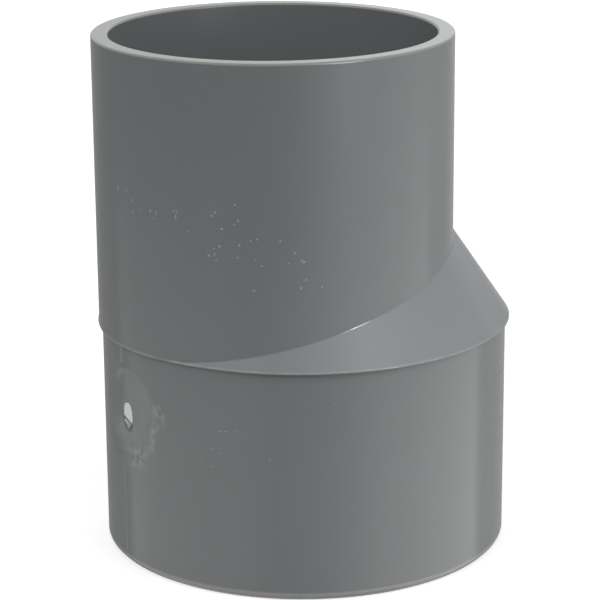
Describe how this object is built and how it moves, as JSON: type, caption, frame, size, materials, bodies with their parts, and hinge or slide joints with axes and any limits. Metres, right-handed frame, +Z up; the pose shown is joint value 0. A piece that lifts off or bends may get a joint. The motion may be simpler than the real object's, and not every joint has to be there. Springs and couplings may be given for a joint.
{
  "type": "eccentric reducer",
  "caption": "Grey PVC eccentric reducer for solvent-weld waste pipe: large plain spigot, sloped shoulder and a smaller socket set off so the inside runs level along one side.",
  "frame": {"origin": "on the spigot's axis, in the plane of its open end, which the fitting stands on", "axes": "+Z runs up both axes to the socket's mouth, and +X is the level side, where the socket is set off to and the mould's gate mark sits"},
  "size_m": [0.0821, 0.0816, 0.1023],
  "materials": {
    "body": "moulded grey PVC-U with a satin sheen"
  },
  "bodies": {
    "root": {"reducer_body": "body"}
  },
  "joints": []
}
